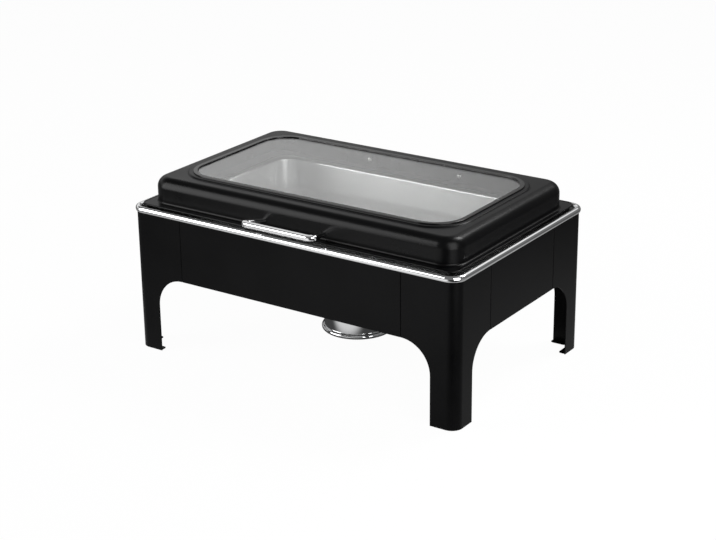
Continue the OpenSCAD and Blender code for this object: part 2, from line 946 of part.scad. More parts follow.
// Low domed screw with its head base at the origin, shank along +Y, head along -Y
module cap_screw(r, length) {
  rotate([90, 0, 0])
    rotate_extrude()
      intersection() {
        translate([0, cap_h - (cap_r * cap_r + cap_h * cap_h) / (2 * cap_h)])
          circle(r = (cap_r * cap_r + cap_h * cap_h) / (2 * cap_h));
        box2(0, 0, cap_r, cap_h);
      }
  rod_y(r, -eps, length);
}

module handle_screws() {
  color(steel)
    for (x = [-1, 1])
      translate([x * grip_foot, lid_front + lid_t, foot_z])
        rotate([0, 0, 180])
          cap_screw(grip_screw_r, lid_t + grip_screw_l);
}

module hinge_arm() {
  color(steel)
    difference() {
      union() {
        translate([-arm_plate_w / 2, dome_hd, arm_low])
          cube([arm_plate_w, arm_plate_t, arm_high - arm_low]);
        along_x(arm_w) {
          polygon([[dome_hd + arm_plate_t / 2, arm_low + arm_lift], [axis_y - knuckle_r, arm_low - arm_lift],
                   [axis_y, axis_z - knuckle_r + arm_lift], [axis_y, axis_z + knuckle_r - arm_lift],
                   [axis_y - knuckle_r, axis_z + knuckle_r + 2 * arm_lift],
                   [dome_hd + arm_plate_t / 2, arm_high - arm_drop]]);
          translate([axis_y, axis_z])
            circle(r = knuckle_r);
        }
      }
      translate([0, axis_y, axis_z])
        rod_x(shaft_r + seat_gap, -arm_w, arm_w);
      translate([0, 0, arm_screw_z])
        rod_y(arm_screw_r + seat_gap, dome_hd - cut, dome_hd + arm_screw_l + cut / 2);
    }
}

module hinge_arm_left() {
  translate([-arm_x, 0, 0])
    hinge_arm();
}

module hinge_arm_right() {
  translate([arm_x, 0, 0])
    hinge_arm();
}

module hinge_shaft() {
  color(steel)
    translate([0, axis_y, axis_z])
      rod_x(shaft_r, -shaft_half, shaft_half);
}

module shaft_clips() {
  color(steel)
    for (k = [0, 1])
      mirror([k, 0, 0])
        translate([0, axis_y, axis_z])
          difference() {
            rod_x(shaft_r + clip_w, clip_x, clip_x + clip_t);
            rod_x(shaft_r + seat_gap, clip_x - cut, clip_x + clip_t + cut);
          }
}

module arm_screws() {
  color(steel)
    for (x = [-1, 1])
      translate([x * arm_x, dome_hd - lid_t, arm_screw_z])
        cap_screw(arm_screw_r, lid_t + arm_screw_l);
}

module lid_bumpers() {
  color(dark_rubber)
    for (x = [-1, 1], y = [-1, 1])
      translate([x * (flange_hw - bumper_in), y * (flange_hd - bumper_in), 0])
        rod(bumper_r, ledge_z + bumper_gap, flange_z - lid_t);
}

module burner_bowl() {
  color(bright)
    rotate_extrude() {
      box2(0, bowl_z, bowl_bead_r - bowl_bead_h / 2, bowl_floor);
      difference() {
        union() {
          box2(bowl_r - bowl_t, bowl_z, bowl_bead_r - bowl_bead_h / 2, bowl_z + bowl_bead_h);
          translate([bowl_bead_r - bowl_bead_h / 2, bowl_z + bowl_bead_h / 2])
            circle(r = bowl_bead_h / 2);
        }
        box2(0, bowl_floor, bowl_r - bowl_t, bowl_z + bowl_bead_h);
      }
      box2(bowl_r - bowl_t, bowl_z + bowl_bead_h / 2, bowl_r, cover_z);
      box2(bowl_r - eps, flange_low, bowl_flange_r, cover_z);
    }
}

module fuel_cup() {
  color(steel)
    translate([0, 0, bowl_floor])
      difference() {
        cylinder(r = cup_r, h = cup_h);
        translate([0, 0, cup_t])
          cylinder(r = cup_r - cup_t, h = cup_h);
      }
}

module burner_cover() {
  color(bright)
    difference() {
      rotate_extrude() {
        box2(flame_r, cover_z, bowl_flange_r - cover_in, plate_z);
        box2(bowl_r - 2 * bowl_t, cover_z - skirt_h, bowl_r - bowl_t - seat_gap, plate_z);
      }
      translate([snuff_x, 0, 0])
        rod(rivet_r + seat_gap, cover_z - cut, plate_z + cut);
    }
}

module damper_rivet() {
  color(steel)
    translate([snuff_x, 0, 0]) {
      rod(rivet_r, cover_z - rivet_h, plate_z + snuff_t + rivet_gap + eps);
      rod(rivet_r + rivet_foot, cover_z - rivet_h, cover_z);
      rod(rivet_r + rivet_head, plate_z + snuff_t + rivet_gap, plate_z + snuff_t + rivet_gap + rivet_h);
    }
}

// Places a piece drawn in the closed position at the damper's rest angle
module snuffed() {
  translate([snuff_x, 0, 0])
    rotate([0, 0, -snuff_rest])
      translate([-snuff_x, 0, 0])
        children();
}

module damper_plate() {
  color(steel)
    snuffed()
      difference() {
        union() {
          rod(snuff_r, plate_z, plate_z + snuff_t);
          translate([0, -snuff_arm, plate_z])
            cube([snuff_x, 2 * snuff_arm, snuff_t]);
          translate([snuff_x, 0, 0])
            rod(snuff_arm, plate_z, plate_z + snuff_t);
        }
        translate([snuff_x, 0, 0])
          rod(rivet_r + run_gap, plate_z - cut, plate_z + snuff_t + cut);
      }
}

module damper_knob() {
  color(dark_rubber)
    snuffed()
      rod(knob_r, plate_z + snuff_t, plate_z + snuff_t + knob_h);
}

leg_front_left();
leg_front_right();
leg_back_left();
leg_back_right();
panel_front();
panel_back();
panel_left();
panel_right();
seam_bolts();
seam_nuts();
water_pan();
burner_bracket();
bracket_screws();
bracket_nuts();
hinge_base();
hinge_base_screws();
hinge_base_nuts();
damper_cylinder();
food_pan();
lid_shell();
lid_glass();
window_gasket();
lid_handle();
handle_screws();
hinge_arm_left();
hinge_arm_right();
hinge_shaft();
shaft_clips();
arm_screws();
lid_bumpers();
burner_bowl();
fuel_cup();
burner_cover();
damper_rivet();
damper_plate();
damper_knob();
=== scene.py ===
# %% [markdown]
# # A chafing dish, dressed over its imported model
# The dish is a black sheet stand with a bright water pan in it, a food pan over the water, a black
# lid with a glass window, and a small fuel burner underneath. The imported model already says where
# every piece sits, so this lesson only makes finer surfaces for the pieces that show, and finishes.
# Sizes are written in millimetres, as on a workshop drawing, and turned into metres at the end.

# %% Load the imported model
import math

import bmesh
import bpy
import numpy as np
from mathutils import Matrix, Vector


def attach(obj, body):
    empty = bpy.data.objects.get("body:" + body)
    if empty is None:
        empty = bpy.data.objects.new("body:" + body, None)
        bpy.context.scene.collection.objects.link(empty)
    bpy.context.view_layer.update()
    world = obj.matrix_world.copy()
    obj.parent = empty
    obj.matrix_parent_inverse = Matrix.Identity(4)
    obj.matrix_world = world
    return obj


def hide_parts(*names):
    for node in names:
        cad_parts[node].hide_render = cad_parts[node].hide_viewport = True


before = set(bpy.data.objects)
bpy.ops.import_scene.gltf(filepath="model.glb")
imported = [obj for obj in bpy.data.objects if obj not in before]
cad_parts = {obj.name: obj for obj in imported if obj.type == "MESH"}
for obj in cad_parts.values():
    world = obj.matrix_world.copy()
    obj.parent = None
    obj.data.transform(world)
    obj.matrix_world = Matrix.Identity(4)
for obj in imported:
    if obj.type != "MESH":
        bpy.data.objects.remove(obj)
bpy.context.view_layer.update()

MM = 0.001

# %% [markdown]
# ## The camera
# A camera can be dropped in by eye, but a measured one saves much trial. Corners of the stand, the lid
# and the window were matched to the photograph, which gave the angle round the dish, the angle above
# the table, a slight roll and the lens. A matrix with the camera's right, up and back directions as
# columns turns those angles into a pose.

# %% Camera
PICTURE = (716, 540)


def camera_pose(place, around, above, roll):
    """Right, up and back of a camera: round the upright by `around`, up by `above`, turned by `roll`."""
    a, e, t = np.radians([around, above, roll])
    flat_right = np.array([np.cos(a), np.sin(a), 0.0])
    ahead = np.array([-np.sin(a) * np.cos(e), np.cos(a) * np.cos(e), -np.sin(e)])
    straight_up = np.cross(flat_right, ahead)
    right = np.cos(t) * flat_right + np.sin(t) * straight_up
    up = np.cos(t) * straight_up - np.sin(t) * flat_right
    pose = np.eye(4)
    pose[:3] = np.stack([right, up, -ahead, np.array(place) * MM], axis=1)
    return Matrix(pose.tolist())


camera = bpy.data.objects.new("camera", bpy.data.cameras.new("camera"))
bpy.context.scene.collection.objects.link(camera)
camera.matrix_world = camera_pose((1466.0, -2138.6, 1119.8), 34.42, 20.89, -0.69)
camera.data.sensor_width = 36.0
camera.data.lens = 36.0 * 1735.5 / PICTURE[0]
bpy.context.scene.camera = camera
print("lens", round(camera.data.lens, 2), "mm")

# %% [markdown]
# ## Surfaces from grids
# Nearly every piece here is a sheet of numbers: rows and columns of points, joined into quads. The
# helper below takes such grids, joins seams and poles where points meet, turns the faces outward and
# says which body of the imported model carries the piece.

# %% Grid helpers


def grid_faces(rows, columns, wrap_rows, wrap_columns):
    """Quads of a grid: cell (i, j) joins point (i, j) to the next row and the next column."""
    i, j = np.meshgrid(
        np.arange(rows if wrap_rows else rows - 1),
        np.arange(columns if wrap_columns else columns - 1),
        indexing="ij",
    )
    below, beside = (i + 1) % rows, (j + 1) % columns
    corners = [i * columns + j, below * columns + j, below * columns + beside, i * columns + beside]
    return np.stack(corners, axis=-1).reshape(-1, 4)


def make_piece(name, grids, finish, body, nodes, sharp=35):
    """One object from grids of points in millimetres, each given with its two wrap flags."""
    points, faces, start = [], [], 0
    for grid, wrap_rows, wrap_columns in grids:
        rows, columns = grid.shape[:2]
        points.append(grid.reshape(-1, 3) * MM)
        faces.append(grid_faces(rows, columns, wrap_rows, wrap_columns) + start)
        start += rows * columns
    mesh = bpy.data.meshes.new(name)
    mesh.from_pydata(np.concatenate(points).tolist(), [], np.concatenate(faces).tolist())
    work = bmesh.new()
    work.from_mesh(mesh)
    bmesh.ops.remove_doubles(work, verts=work.verts, dist=2e-6)
    bmesh.ops.dissolve_degenerate(work, edges=work.edges, dist=1e-7)
    bmesh.ops.recalc_face_normals(work, faces=work.faces)
    open_edges = sum(not edge.is_manifold for edge in work.edges)
    work.to_mesh(mesh)
    work.free()
    mesh.shade_smooth()
    mesh.set_sharp_from_angle(angle=math.radians(sharp))
    mesh.materials.append(finish)
    piece = bpy.data.objects.new(name, mesh)
    bpy.context.scene.collection.objects.link(piece)
    flat_faces = piece.modifiers.new("flat_faces", "WEIGHTED_NORMAL")
    flat_faces.keep_sharp = True
    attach(piece, body)
    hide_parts(*nodes)
    print(name, len(mesh.polygons), "faces,", open_edges, "open edges")
    return piece


# %% [markdown]
# ## Profiles carried round a rounded rectangle
# The lid, both pans, the glass and its seal all follow rounded rectangles. A station is one loop: half
# width, half depth, corner radius and height. A list of stations is a profile carried round, so a
# pressed sheet with a rolled edge is only a list of arcs and straight runs.

# %% Rounded rectangle helpers


def arc_points(centre, radius, start, stop, count):
    """Points of an arc: centre + radius * (cos a, sin a), with a from start to stop in degrees."""
    a = np.radians(np.linspace(start, stop, count))
    return np.stack([centre[0] + radius * np.cos(a), centre[1] + radius * np.sin(a)], axis=-1)


def stations_on(outline, profile):
    """Stations of a profile of (outward step, height): a step grows both half sizes and the radius."""
    step, height = np.asarray(profile, float).T
    half_width, half_depth, radius = outline
    return np.stack([half_width + step, half_depth + step, np.maximum(radius + step, 0), height], axis=-1)


def ring_grid(stations, count=14):
    """Points of each loop: corner centre + radius * (cos a, sin a), a quarter turn for each corner."""
    half_width, half_depth, radius, height = np.asarray(stations, float).T
    quarter = np.radians(np.linspace(0, 90, count))
    angle = (quarter[None, :] + np.radians([[0], [90], [180], [270]])).ravel()[:, None]
    side_x = np.repeat([1, -1, -1, 1], count)[:, None]
    side_y = np.repeat([1, 1, -1, -1], count)[:, None]
    x = side_x * (half_width - radius) + np.cos(angle) * radius
    y = side_y * (half_depth - radius) + np.sin(angle) * radius
    return np.stack([x, y, np.broadcast_to(height, x.shape)], axis=-1)


def middle_line(outline, height):
    """The station at which a flat floor closes: the loop shrinks to a line along the longer side."""
    half_width, half_depth, _ = outline
    long_half = max(half_width - half_depth, 0)
    return np.array([[long_half, max(half_depth - half_width, 0), 0, height]])


print("helpers for pieces that follow a rounded rectangle are ready")

# %% [markdown]
# ## Finishes
# A real finish is never one flat colour. Powder coat has a fine orange peel, drawn steel has faint
# streaks, and polished chrome carries a haze of handling. Each finish below is one principled shader
# fed by noise in object coordinates, so it stays put on the piece from every side.

# %% Finish helpers


def new_finish(name):
    """An empty node material with a principled shader; gives the material, its nodes and a linker."""
    finish = bpy.data.materials.new(name)
    finish.use_nodes = True
    nodes = finish.node_tree.nodes
    return finish, nodes, finish.node_tree.links.new, nodes["Principled BSDF"]


def stretched_noise(nodes, link, stretch, scale, detail=3.0):
    """Noise in object coordinates, squeezed along each axis by `stretch`."""
    place = nodes.new("ShaderNodeTexCoord")
    squeeze = nodes.new("ShaderNodeMapping")
    squeeze.inputs["Scale"].default_value = stretch
    noise = nodes.new("ShaderNodeTexNoise")
    noise.inputs["Scale"].default_value = scale
    noise.inputs["Detail"].default_value = detail
    link(place.outputs["Object"], squeeze.inputs["Vector"])
    link(squeeze.outputs["Vector"], noise.inputs["Vector"])
    return noise.outputs["Fac"]


def between(nodes, link, source, low, high):
    """A noise value stretched from its usual 0.3 to 0.7 onto the span from low to high."""
    span = nodes.new("ShaderNodeMapRange")
    span.inputs["From Min"].default_value = 0.3
    span.inputs["From Max"].default_value = 0.7
    span.inputs["To Min"].default_value = low
    span.inputs["To Max"].default_value = high
    link(source, span.inputs["Value"])
    return span.outputs["Result"]


def two_tones(nodes, link, source, dark, light):
    """A colour that drifts between two tones with the noise."""
    ramp = nodes.new("ShaderNodeValToRGB")
    ramp.color_ramp.elements[0].position = 0.3
    ramp.color_ramp.elements[0].color = (*dark, 1)
    ramp.color_ramp.elements[1].position = 0.7
    ramp.color_ramp.elements[1].color = (*light, 1)
    link(source, ramp.inputs["Fac"])
    return ramp.outputs["Color"]


def relief(nodes, link, source, shader, strength, depth):
    """Bump from the noise, `depth` metres high, into the shader's normal."""
    bump = nodes.new("ShaderNodeBump")
    bump.inputs["Strength"].default_value = strength
    bump.inputs["Distance"].default_value = depth
    link(source, bump.inputs["Height"])
    link(bump.outputs["Normal"], shader.inputs["Normal"])


def sum_of(nodes, link, sources):
    """The sum of several values, held between 0 and 1."""
    total = sources[0]
    for source in sources[1:]:
        add = nodes.new("ShaderNodeMath")
        add.operation = "ADD"
        add.use_clamp = True
        link(total, add.inputs[0])
        link(source, add.inputs[1])
        total = add.outputs["Value"]
    return total


def times(nodes, link, source, factor):
    """A value times a number or times another value."""
    scale = nodes.new("ShaderNodeMath")
    scale.operation = "MULTIPLY"
    link(source, scale.inputs[0])
    if isinstance(factor, float):
        scale.inputs[1].default_value = factor
    else:
        link(factor, scale.inputs[1])
    return scale.outputs["Value"]


def fall_off(nodes, link, source, near, far, low, high):
    """A smooth step from `low` at `near` to `high` at `far`."""
    step = nodes.new("ShaderNodeMapRange")
    step.interpolation_type = "SMOOTHSTEP"
    for label, value in [("From Min", near), ("From Max", far), ("To Min", low), ("To Max", high)]:
        step.inputs[label].default_value = value
    link(source, step.inputs["Value"])
    return step.outputs["Result"]


def painted(name, tone, gloss, specular):
    """Powder coat: two near-black tones, roughness that drifts a little, and a fine orange peel."""
    finish, nodes, link, shader = new_finish(name)
    cloud = stretched_noise(nodes, link, (1, 1, 1), 14, 4)
    peel = stretched_noise(nodes, link, (1, 1, 1), 900, 2)
    dark = tuple(0.8 * c for c in tone)
    light = tuple(1.25 * c for c in tone)
    link(two_tones(nodes, link, cloud, dark, light), shader.inputs["Base Color"])
    link(between(nodes, link, cloud, gloss - 0.03, gloss + 0.03), shader.inputs["Roughness"])
    shader.inputs["Specular IOR Level"].default_value = specular
    relief(nodes, link, peel, shader, 0.12, 0.00008)
    return finish


def bare_metal(name, tone, rough, stretch, scale, depth):
    """Bare metal: streaks of noise drive the roughness, a faint tone change and a shallow relief."""
    finish, nodes, link, shader = new_finish(name)
    streak = stretched_noise(nodes, link, stretch, scale, 4)
    haze = stretched_noise(nodes, link, (1, 1, 1), 11, 3)
    dark = tuple(0.95 * c for c in tone)
    link(two_tones(nodes, link, haze, dark, tone), shader.inputs["Base Color"])
    link(between(nodes, link, streak, rough[0], rough[1]), shader.inputs["Roughness"])
    shader.inputs["Metallic"].default_value = 1.0
    relief(nodes, link, streak, shader, 0.15, depth)
    return finish


# %% [markdown]
# ## The finishes of this dish
# The stand is a dull powder coat and the lid a smoother one, so they get two versions of one recipe.
# Chrome, pan steel, fittings and fasteners share another. The glass is clear with the grey-green of
# soda glass, and the seal and the burner knob are soft blacks. The ledge inside the water pan's rolled rim
# gets painted shade: a black picked out by place instead of by a second mesh, where the lid's flange shades it.

# %% Finishes
stand_black = painted("stand_powder_coat", (0.0018, 0.0018, 0.002), 0.34, 0.09)
lid_black = painted("lid_enamel", (0.0016, 0.0016, 0.0018), 0.29, 0.15)
rim_chrome = bare_metal("rim_chrome", (0.86, 0.865, 0.87), (0.05, 0.1), (1, 1, 1), 60, 0.00001)
pot_chrome = bare_metal("pot_chrome", (0.86, 0.865, 0.87), (0.05, 0.1), (1, 1, 1), 60, 0.00001)
grip_chrome = bare_metal("handle_chrome", (0.87, 0.87, 0.875), (0.06, 0.11), (1, 1, 1), 90, 0.00001)
cup_steel = bare_metal("cup_steel", (0.8, 0.8, 0.795), (0.3, 0.42), (1, 1, 0.05), 420, 0.00002)
pan_steel = bare_metal("pan_steel", (0.88, 0.88, 0.875), (0.33, 0.42), (0.05, 0.05, 1), 420, 0.00001)
fitting_steel = bare_metal("fitting_steel", (0.6, 0.6, 0.59), (0.24, 0.4), (0.04, 1, 1), 600, 0.00003)
fastener_steel = bare_metal("fastener_steel", (0.74, 0.74, 0.72), (0.15, 0.26), (1, 1, 1), 700, 0.00002)


def clear_glass(name):
    """Clear glass: full transmission, with a faint haze of wiping in the roughness."""
    finish, nodes, link, shader = new_finish(name)
    wipe = stretched_noise(nodes, link, (1, 0.15, 1), 20, 4)
    link(between(nodes, link, wipe, 0.0, 0.015), shader.inputs["Roughness"])
    link(two_tones(nodes, link, wipe, (0.97, 0.985, 0.98), (0.99, 0.995, 0.992)), shader.inputs["Base Color"])
    shader.inputs["Transmission Weight"].default_value = 1.0
    shader.inputs["IOR"].default_value = 1.5
    return finish


def soft_black(name, tone, rough, grain):
    """Rubber or moulded plastic: a dull black with a fine grain in its roughness and relief."""
    finish, nodes, link, shader = new_finish(name)
    speck = stretched_noise(nodes, link, (1, 1, 1), grain, 3)
    link(two_tones(nodes, link, speck, tuple(0.7 * c for c in tone), tone), shader.inputs["Base Color"])
    link(between(nodes, link, speck, rough - 0.06, rough + 0.06), shader.inputs["Roughness"])
    shader.inputs["Specular IOR Level"].default_value = 0.5
    relief(nodes, link, speck, shader, 0.1, 0.00002)
    return finish


def paint_shade_on_ledge(finish, core, reach, level):
    """Painted shade inside the rolled rim: black, nearer than `reach` to the core box and above `level`."""
    nodes, link = finish.node_tree.nodes, finish.node_tree.links.new
    shader = nodes["Principled BSDF"]
    value = nodes.new("ShaderNodeTexCoord").outputs["Object"]
    for operation, amount in [("ABSOLUTE", (0, 0, 0)), ("SUBTRACT", (*core, 9.0)), ("MAXIMUM", (0, 0, 0))]:
        step = nodes.new("ShaderNodeVectorMath")
        step.operation = operation
        step.inputs[1].default_value = amount
        link(value, step.inputs[0])
        value = step.outputs["Vector"]
    length = nodes.new("ShaderNodeVectorMath")
    length.operation = "LENGTH"
    link(value, length.inputs[0])
    height = nodes.new("ShaderNodeSeparateXYZ")
    link(nodes.new("ShaderNodeTexCoord").outputs["Object"], height.inputs["Vector"])
    unshaded = sum_of(nodes, link, [
        fall_off(nodes, link, length.outputs["Value"], reach - 0.0003, reach, 0.0, 1.0),
        fall_off(nodes, link, height.outputs["Z"], level - 0.0004, level, 1.0, 0.0)])
    # painted shade: where the mask is off, the rim turns near-black, not metallic and rough, as if shaded by the
    # lid's flange
    shade_mix = nodes.new("ShaderNodeMix")
    shade_mix.data_type = "RGBA"
    shade_mix.inputs["A"].default_value = (0.006, 0.006, 0.006, 1)
    link(shader.inputs["Base Color"].links[0].from_socket, shade_mix.inputs["B"])
    link(unshaded, shade_mix.inputs["Factor"])
    link(shade_mix.outputs["Result"], shader.inputs["Base Color"])
    link(unshaded, shader.inputs["Metallic"])
    link(fall_off(nodes, link, unshaded, 0.0, 1.0, 0.6, 0.08), shader.inputs["Roughness"])


# painted shade on the ledge between the food pan and the rolled rim, under the lid's flange
paint_shade_on_ledge(rim_chrome, (0.2795, 0.1705), 0.0143, 0.2332)
window_glass = clear_glass("window_glass")
seal_rubber = soft_black("seal_rubber", (0.004, 0.004, 0.004), 0.2, 1200)
knob_plastic = soft_black("knob_plastic", (0.02, 0.02, 0.02), 0.4, 800)
print("finishes", len(bpy.data.materials))

# %% [markdown]
# ## The lid
# The lid is a pressed dome: a flat flange with a rolled edge, a plain wall, a rounded shoulder and a
# flat top with a raised, stepped frame round the window's hole. One closed profile gives both skins of
# the sheet. The corner radius changes from loop to loop, which a swept curve could not do so easily.

# %% Lid shell
DOME = (282.0, 168.5, 32.0)
FLANGE = (292.0, 183.0, 16.0)
WINDOW_HOLE = (246.5, 129.5, 50.0)
WINDOW_FRAME = (257.5, 140.5, 61.0)

lid_profile = np.concatenate([
    stations_on(WINDOW_HOLE, [(0, 284.5), (0, 286.0)]),
    stations_on(WINDOW_FRAME, arc_points((-3.5, 282.5), 3.5, 90, 32, 9)),
    stations_on(WINDOW_FRAME, arc_points((1.0, 285.0), 1.0, 212, 270, 6)),
    stations_on(DOME, arc_points((-17, 267), 17, 90, 0, 23)),
    stations_on(DOME, [(0, 255.5)]),
    stations_on(DOME, arc_points((3, 246.5), 3, 180, 270, 7)),
    stations_on(FLANGE, arc_points((-1.4, 242.75), 1.4, 147.6, -147.6, 15)),
    stations_on(DOME, [(-1.5, 242.0)]),
    stations_on(DOME, arc_points((-17, 267), 15.5, 0, 90, 13)),
    stations_on(WINDOW_FRAME, [(-1.5, 282.5)]),
    stations_on(WINDOW_FRAME, arc_points((-3.5, 282.5), 2.0, 0, 90, 6)),
])
make_piece("lid_dome", [(ring_grid(lid_profile, 18), True, True)], lid_black, "lid",
           ["lid_shell"])

# %% [markdown]
# ## The window
# A slab of glass sits in a black seal whose lips hold the sheet above and the glass below. The seal is
# one closed profile carried round the window; the glass is a thin slab with softened edges that closes
# on a line in the middle of each face.

# %% Window
GLASS = (244.5, 127.5, 48.0)
SEAL = (249.0, 132.0, 52.5)

seal_profile = np.concatenate([
    [(-7.5, 286.0)],
    arc_points((-6.7, 287.0), 0.8, 180, 90, 5),
    arc_points((-0.8, 287.0), 0.8, 90, 0, 5),
    [(0, 286.0), (-2.5, 286.0), (-2.5, 284.5), (0, 284.5)],
    [(0, 280.8), (-0.6, 280.2), (-6.9, 280.2), (-7.5, 280.8), (-7.5, 282.0), (-4.5, 282.0), (-4.5, 286.0)],
])
make_piece("window_seal", [(ring_grid(stations_on(SEAL, seal_profile), 18), True, True)], seal_rubber, "lid",
           ["window_gasket"])

glass_profile = np.concatenate([
    middle_line(GLASS, 286.0),
    stations_on(GLASS, [(-1.5, 286.0), (-0.5, 286.0), (-0.15, 285.85), (0, 285.5)]),
    stations_on(GLASS, [(0, 282.5), (-0.15, 282.15), (-0.5, 282.0), (-1.5, 282.0)]),
    middle_line(GLASS, 282.0),
])
make_piece("window_pane", [(ring_grid(glass_profile, 18), True, False)], window_glass, "lid",
           ["lid_glass"])

# %% [markdown]
# ## The handle
# The handle is a bright bow: a bar with rounded edges that bends back at both ends and tapers down to
# two small feet on the lid. It is a section carried along a path. Each station of the path has a place,
# a width and a height, and the section is a rounded rectangle in the plane across the path.

# %% Handle


def grip_path():
    """Half the bow from its middle: a bar, a quarter bend of radius 7.5, then a slanted return."""
    bar = np.stack([np.linspace(0, 55, 12), np.full(12, -210.5)], axis=-1)
    bend = arc_points((55, -203), 7.5, -90, 0, 19)[1:]
    back = np.linspace((62.5, -203), (55, -168.2), 18)[1:]
    return np.concatenate([bar, bend, back])


def section_points(count):
    """Rounded square of half size 1: corner centre 0.5 + 0.5 * (cos a, sin a) on each quarter."""
    quarter = np.radians(np.linspace(0, 90, count))
    angle = (quarter[None, :] + np.radians([[0], [90], [180], [270]])).ravel()
    corner_x = np.repeat([1, -1, -1, 1], count)
    corner_y = np.repeat([1, 1, -1, -1], count)
    return corner_x, corner_y, np.cos(angle), np.sin(angle)


def grip_grid():
    """Place + across * section x + up * section y, with width, height and level set by the reach."""
    half = grip_path()
    plan = np.concatenate([half[:0:-1] * (-1, 1), half])
    along = np.gradient(plan, axis=0)
    along /= np.linalg.norm(along, axis=1, keepdims=True)
    across = np.stack([along[:, 1], -along[:, 0]], axis=-1)
    taper = np.clip((plan[:, 1] + 206.0) / 37.5, 0, 1)
    ease = taper * taper * (3 - 2 * taper) * 0.35 + taper * 0.65
    wide = 5.5 + (3.75 - 5.5) * ease
    tall = 4.0 + (3.0 - 4.0) * ease
    level = 259.5 + (253.0 - 259.5) * ease
    soft = np.minimum(3.0, 0.72 * np.minimum(wide, tall))
    corner_x, corner_y, turn_x, turn_y = section_points(7)
    side = corner_x * (wide - soft)[:, None] + turn_x * soft[:, None]
    rise = corner_y * (tall - soft)[:, None] + turn_y * soft[:, None]
    x = plan[:, :1] + across[:, :1] * side
    y = plan[:, 1:] + across[:, 1:] * side
    grid = np.stack([x, y, level[:, None] + rise], axis=-1)
    ends = np.broadcast_to(grid[[0, -1]].mean(axis=1, keepdims=True), grid[[0, -1]].shape)
    return np.concatenate([ends[:1], grid, ends[1:]])


make_piece("lid_bow", [(grip_grid(), False, True)], grip_chrome, "lid", ["lid_handle"])

# %% [markdown]
# ## The two pans
# The water pan hangs by a rolled rim on the stand, with a ledge for the food pan and a basin below. The
# food pan has a narrow flat rim. Both are profiles from the middle of the underside, out and up over the
# rim, and back down to the middle of the inside.

# %% Water pan
RIM = (303.5, 194.5, 24.0)
BASIN = (257.0, 154.5, 39.0)

water_profile = np.concatenate([
    middle_line(BASIN, 149.0),
    stations_on(BASIN, arc_points((-12, 161), 12, -90, 0, 9)),
    stations_on(BASIN, [(0, 234.0)]),
    stations_on(RIM, [(-10, 234.0), (-10, 230.5), (-9.5, 230.0), (-5.4, 230.0)]),
    stations_on(RIM, arc_points((-5, 235), 5.0, -85, 0, 15)),
    stations_on(RIM, arc_points((-5, 235.5), 5.0, 0, 176, 29)),
    stations_on(BASIN, [(3, 235.0)]),
    stations_on(BASIN, arc_points((1.5, 232.5), 2.5, 90, 180, 6)),
    stations_on(BASIN, arc_points((-12, 161), 11, 0, -90, 9)),
    middle_line(BASIN, 150.0),
])
make_piece("water_basin", [(ring_grid(water_profile, 16), True, False)], rim_chrome, "stand",
           ["water_pan"])

# %% Food pan
FOOD_RIM = (265.0, 162.5, 22.0)
FOOD_WALL = (253.5, 151.0, 36.0)

food_profile = np.concatenate([
    middle_line(FOOD_WALL, 171.0),
    stations_on(FOOD_WALL, arc_points((-16, 187), 16, -90, 0, 11)),
    stations_on(FOOD_WALL, [(0, 235.0)]),
    stations_on(FOOD_RIM, arc_points((-0.5, 235.5), 0.5, -90, 90, 7)),
    stations_on(FOOD_WALL, arc_points((1.5, 233.5), 2.5, 90, 180, 7)),
    stations_on(FOOD_WALL, arc_points((-16, 187), 15, 0, -90, 11)),
    middle_line(FOOD_WALL, 172.0),
])
food_tray = make_piece("food_tray", [(ring_grid(food_profile, 18), True, False)], pan_steel, "food_pan",
                       ["food_pan"])

# %% [markdown]
# ## Brushed steel
# The pan is brushed along its walls, so a highlight smears upright, across the brush lines, and stays
# narrow along them. An attribute carries the upright direction to the shader's tangent, and the
# anisotropic setting does the smear. Towards its floor the pan is made duller, which keeps a hard bright
# strip off the fillet.

# %% Brush direction
upright = food_tray.data.attributes.new("upright", "FLOAT_VECTOR", "POINT")
upright.data.foreach_set("vector", np.tile([0.06, 0.04, 1.0], len(food_tray.data.vertices)))
nodes, link = pan_steel.node_tree.nodes, pan_steel.node_tree.links.new
shader = nodes["Principled BSDF"]
brush = nodes.new("ShaderNodeAttribute")
brush.attribute_name = "upright"
link(brush.outputs["Vector"], shader.inputs["Tangent"])
shader.inputs["Anisotropic"].default_value = 0.95
depth = nodes.new("ShaderNodeSeparateXYZ")
link(nodes.new("ShaderNodeTexCoord").outputs["Object"], depth.inputs["Vector"])
dulled = nodes.new("ShaderNodeMath")
dulled.operation = "ADD"
link(shader.inputs["Roughness"].links[0].from_socket, dulled.inputs[0])
link(fall_off(nodes, link, depth.outputs["Z"], 0.184, 0.2, 0.35, 0.0), dulled.inputs[1])
link(dulled.outputs["Value"], shader.inputs["Roughness"])
print("brush directions", len(upright.data))

# %% [markdown]
# ## The stand
# Each leg is one bent sheet: two wings round a rounded corner, narrowed to a foot by a quarter arch. The
# section across a leg depends on height only through the wing length and the edge softness, so the whole
# sheet is one formula. The panels are shallow channels, and thin plates make lips, hems and flanges.

# %% Sheet helpers
STAND = (300.0, 191.0)
SHEET = 1.5


def closed_sheet(outer, inner, height):
    """Both skins as one loop per row; the first and last rows close on the middle of the sheet."""
    middle = (outer + inner) / 2
    loops = np.concatenate([outer, inner[:, ::-1]], axis=1)
    ends = np.concatenate([middle, middle[:, ::-1]], axis=1)
    plan = np.concatenate([ends[:1], loops, ends[-1:]])
    level = np.concatenate([height[:1], height, height[-1:]])
    return np.concatenate([plan, np.broadcast_to(level[:, None, None], plan.shape[:2] + (1,))], axis=-1)


